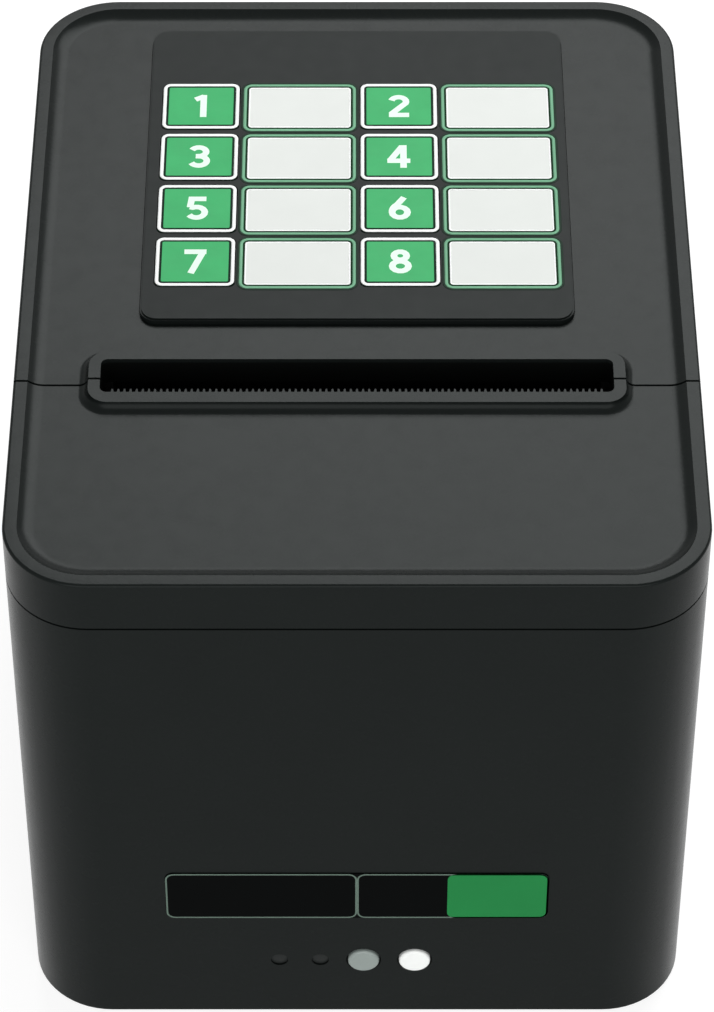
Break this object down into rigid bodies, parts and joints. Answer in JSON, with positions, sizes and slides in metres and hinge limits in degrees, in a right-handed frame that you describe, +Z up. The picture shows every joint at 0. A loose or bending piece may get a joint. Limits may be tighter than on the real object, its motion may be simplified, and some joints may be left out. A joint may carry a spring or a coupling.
{
  "type": "countertop queue ticket printer",
  "caption": "Countertop queue ticket printer with a keypad on a rear-hinged lid, a ticket slot with a tear bar, a drop-in paper bucket and a thermal print and cutter mechanism.",
  "frame": {"origin": "centre of the case footprint on the counter, between the side walls and between the front and the back face, level with the undersides of the feet", "axes": "+X to the right seen from the front, +Y towards the back, +Z up"},
  "size_m": [0.115, 0.1479, 0.1113],
  "materials": {
    "case_plastic": "fine moulded texture",
    "lid_plastic": "fine moulded texture",
    "bezel_film": "satin film",
    "inner_plastic": "satin",
    "key_film": "satin print under clear film",
    "label_card": "smooth card",
    "badge_film": "satin film",
    "lamp_lens": "gloss",
    "grey_button": "satin",
    "white_button": "satin",
    "steel": "brushed",
    "screw_steel": "black oxide",
    "heatsink": "satin",
    "ceramic": "glazed",
    "rubber": "matte",
    "brass": "satin",
    "gear_nylon": "satin",
    "circuit_board": "solder mask",
    "silicone": "matte",
    "socket_black": "satin",
    "socket_metal": "bright",
    "paper": "smooth thermal paper",
    "core_card": "rough",
    "blade_steel": "black oxide"
  },
  "bodies": {
    "case": {"body_shell": "case_plastic", "base_plate": "inner_plastic", "rubber_feet": "rubber", "base_screws": "screw_steel", "front_cover": "case_plastic", "tear_bar": "case_plastic", "front_badge": "badge_film", "status_lamps": "lamp_lens", "button_board": "circuit_board", "inner_frame": "inner_plastic", "frame_screws": "screw_steel", "main_board": "circuit_board", "board_screws": "screw_steel", "power_inlet": "socket_black", "usb_port": "socket_metal", "network_port": "socket_metal", "paper_sensor": "circuit_board", "mechanism_frame": "steel", "mechanism_screws": "screw_steel", "head_pivot_pin": "steel", "head_springs": "steel", "gear_axle": "steel", "feed_motor": "steel", "cutter_base": "steel", "cutter_motor": "steel"},
    "lid": {"rear_lid": "lid_plastic", "exit_guide": "inner_plastic", "hinge_pins": "steel", "lid_frame": "inner_plastic", "lid_frame_screws": "screw_steel", "keypad_bezel": "bezel_film", "keypad_board": "circuit_board", "keypad_mat": "silicone", "label_cards": "label_card", "fixed_blade": "blade_steel", "platen_bushings": "brass"},
    "feed_roller": {"platen_rubber": "rubber", "platen_shaft": "steel", "platen_gear": "gear_nylon"},
    "reduction_wheel": {"reduction_gear": "gear_nylon"},
    "motor_gear": {"motor_pinion": "brass"},
    "head": {"print_head": "ceramic", "head_heatsink": "heatsink"},
    "cutter_blade": {"moving_blade": "blade_steel"},
    "cutter_drive": {"cutter_gear": "gear_nylon"},
    "ticket_roll": {"paper_roll": "paper", "paper_core": "core_card"},
    "power_key": {"power_button": "grey_button"},
    "feed_key": {"feed_button": "white_button"},
    "key_1_cap": {"key_1": "key_film"},
    "key_2_cap": {"key_2": "key_film"},
    "key_3_cap": {"key_3": "key_film"},
    "key_4_cap": {"key_4": "key_film"},
    "key_5_cap": {"key_5": "key_film"},
    "key_6_cap": {"key_6": "key_film"},
    "key_7_cap": {"key_7": "key_film"},
    "key_8_cap": {"key_8": "key_film"}
  },
  "joints": [
    {"name": "lid_hinge", "type": "hinge", "parent": "case", "child": "lid", "pos_m": [0, 0.07035, 0.1042], "axis": [-1, 0, 0], "range_deg": [0, 90]},
    {"name": "feed_roller_spin", "type": "hinge", "parent": "lid", "child": "feed_roller", "pos_m": [0, -0.01965, 0.092], "axis": [1, 0, 0], "continuous": true},
    {"name": "reduction_gear_spin", "type": "hinge", "parent": "case", "child": "reduction_wheel", "pos_m": [0, -0.01965, 0.07597], "axis": [1, 0, 0], "continuous": true},
    {"name": "motor_gear_spin", "type": "hinge", "parent": "case", "child": "motor_gear", "pos_m": [0, -0.03215, 0.06593], "axis": [1, 0, 0], "continuous": true},
    {"name": "head_pivot", "type": "hinge", "parent": "case", "child": "head", "pos_m": [0, -0.02905, 0.0834], "axis": [1, 0, 0], "range_deg": [0, 3], "stiffness_Nm_per_rad": 0.5, "springref_deg": -5.73, "deforming": ["head_springs"]},
    {"name": "cutter_slide", "type": "slide", "parent": "case", "child": "cutter_blade", "axis": [0, 1, 0], "range_m": [0, 0.0065]},
    {"name": "cutter_gear_spin", "type": "hinge", "parent": "case", "child": "cutter_drive", "pos_m": [0.00483, -0.05185, 0.1], "axis": [0, 0, 1], "range_deg": [-78, 0]},
    {"name": "ticket_roll_spin", "type": "hinge", "parent": "case", "child": "ticket_roll", "pos_m": [0, 0.02635, 0.0513], "axis": [1, 0, 0], "continuous": true},
    {"name": "power_button_press", "type": "slide", "parent": "case", "child": "power_key", "axis": [0, 1, 0], "range_m": [0, 0.0008], "stiffness_N_per_m": 600},
    {"name": "feed_button_press", "type": "slide", "parent": "case", "child": "feed_key", "axis": [0, 1, 0], "range_m": [0, 0.0008], "stiffness_N_per_m": 600},
    {"name": "key_1_press", "type": "slide", "parent": "lid", "child": "key_1_cap", "axis": [0, 0, -1], "range_m": [0, 0.0005], "stiffness_N_per_m": 1500},
    {"name": "key_2_press", "type": "slide", "parent": "lid", "child": "key_2_cap", "axis": [0, 0, -1], "range_m": [0, 0.0005], "stiffness_N_per_m": 1500},
    {"name": "key_3_press", "type": "slide", "parent": "lid", "child": "key_3_cap", "axis": [0, 0, -1], "range_m": [0, 0.0005], "stiffness_N_per_m": 1500},
    {"name": "key_4_press", "type": "slide", "parent": "lid", "child": "key_4_cap", "axis": [0, 0, -1], "range_m": [0, 0.0005], "stiffness_N_per_m": 1500},
    {"name": "key_5_press", "type": "slide", "parent": "lid", "child": "key_5_cap", "axis": [0, 0, -1], "range_m": [0, 0.0005], "stiffness_N_per_m": 1500},
    {"name": "key_6_press", "type": "slide", "parent": "lid", "child": "key_6_cap", "axis": [0, 0, -1], "range_m": [0, 0.0005], "stiffness_N_per_m": 1500},
    {"name": "key_7_press", "type": "slide", "parent": "lid", "child": "key_7_cap", "axis": [0, 0, -1], "range_m": [0, 0.0005], "stiffness_N_per_m": 1500},
    {"name": "key_8_press", "type": "slide", "parent": "lid", "child": "key_8_cap", "axis": [0, 0, -1], "range_m": [0, 0.0005], "stiffness_N_per_m": 1500}
  ],
  "couplings": [
    {"joint": "reduction_gear_spin", "follows": "feed_roller_spin", "ratio": -0.42857},
    {"joint": "motor_gear_spin", "follows": "feed_roller_spin", "ratio": 1},
    {"joint": "cutter_gear_spin", "follows": "cutter_slide", "rad_per_m": -208.33}
  ]
}
